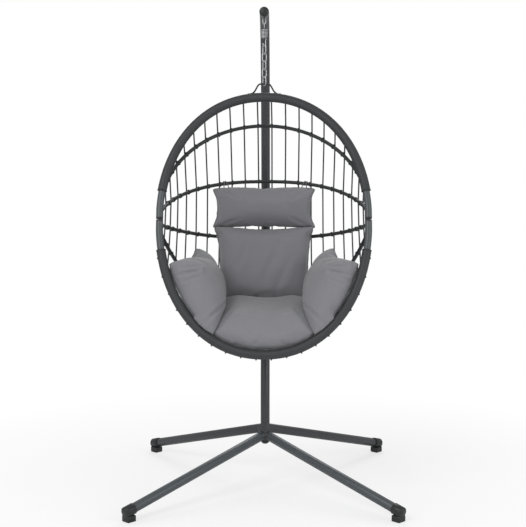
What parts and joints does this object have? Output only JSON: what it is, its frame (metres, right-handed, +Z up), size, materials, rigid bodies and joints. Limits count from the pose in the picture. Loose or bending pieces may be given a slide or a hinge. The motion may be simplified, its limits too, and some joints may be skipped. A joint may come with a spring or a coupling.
{
  "type": "hanging egg chair",
  "caption": "Hanging egg chair: a wrapped oval basket with rope sides and grey cushions, on a spring and chain from a curved floor stand.",
  "frame": {"origin": "on the floor, in the middle of the four feet and under the hub", "axes": "+Z up; the chair faces -Y; +X is on the right as seen from the front"},
  "size_m": [1.0842, 1.0842, 1.9638],
  "materials": {
    "frame_paint": "satin",
    "black_plastic": "satin",
    "galvanised_steel": "satin",
    "ring_wrap": "satin",
    "rib_paint": "satin",
    "rope": "matte",
    "cushion_cloth": "matte"
  },
  "bodies": {
    "stand": {"hub": "frame_paint", "hub_bottom_cap": "black_plastic", "leg_front_left": "frame_paint", "leg_front_right": "frame_paint", "leg_rear_left": "frame_paint", "leg_rear_right": "frame_paint", "foot_front_left": "black_plastic", "foot_front_right": "black_plastic", "foot_rear_left": "black_plastic", "foot_rear_right": "black_plastic", "post_lower": "frame_paint", "post_upper": "frame_paint", "post_sleeve": "frame_paint", "arm_end_cap": "black_plastic", "arm_eye": "frame_paint"},
    "shackle": {"shackle": "galvanised_steel"},
    "spring": {"spring": "galvanised_steel"},
    "chain_top": {"chain_link_1": "galvanised_steel"},
    "chain": {"chain_link_2": "galvanised_steel", "chain_link_3": "galvanised_steel", "chain_link_4": "galvanised_steel", "chain_link_5": "galvanised_steel"},
    "basket": {"hanging_arch": "rib_paint", "ring_upper_tube": "frame_paint", "ring_lower_tube": "frame_paint", "ring_upper_wrap": "ring_wrap", "ring_lower_wrap": "ring_wrap", "side_joint_left": "black_plastic", "side_joint_right": "black_plastic", "rib_top": "rib_paint", "rib_upper": "rib_paint", "rib_lower": "rib_paint", "rib_seat": "rib_paint", "rope_01": "rope", "rope_02": "rope", "rope_03": "rope", "rope_04": "rope", "rope_05": "rope", "rope_06": "rope", "rope_07": "rope", "rope_08": "rope", "rope_09": "rope", "rope_10": "rope", "rope_11": "rope", "rope_12": "rope", "rope_13": "rope", "rope_14": "rope", "rope_15": "rope", "rope_16": "rope", "rope_17": "rope", "rope_18": "rope", "rope_19": "rope", "rope_20": "rope", "seat_cushion": "cushion_cloth", "back_cushion": "cushion_cloth", "head_pillow": "cushion_cloth", "side_cushion_left": "cushion_cloth", "side_cushion_right": "cushion_cloth", "pillow_tie_left": "cushion_cloth", "pillow_tie_right": "cushion_cloth"}
  },
  "joints": [
    {"name": "swing_side", "type": "hinge", "parent": "stand", "child": "shackle", "pos_m": [0, -0.1555, 1.9165], "axis": [0, 1, 0], "range_deg": [-8, 8]},
    {"name": "swing_fore_aft", "type": "hinge", "parent": "shackle", "child": "spring", "pos_m": [0, -0.1555, 1.9], "axis": [1, 0, 0], "range_deg": [-25, 3.5]},
    {"name": "spring_bounce", "type": "slide", "parent": "spring", "child": "chain_top", "axis": [0, 0, -1], "range_m": [0, 0.02], "stiffness_N_per_m": 36500, "springref_m": -0.0082, "deforming": ["spring"]},
    {"name": "chain_twist", "type": "hinge", "parent": "chain_top", "child": "chain", "pos_m": [0, -0.1555, 1.7827], "axis": [0, 0, 1], "range_deg": [-30, 30]},
    {"name": "basket_tilt", "type": "hinge", "parent": "chain", "child": "basket", "pos_m": [0, -0.1555, 1.6657], "axis": [1, 0, 0], "range_deg": [-8, 3]}
  ]
}
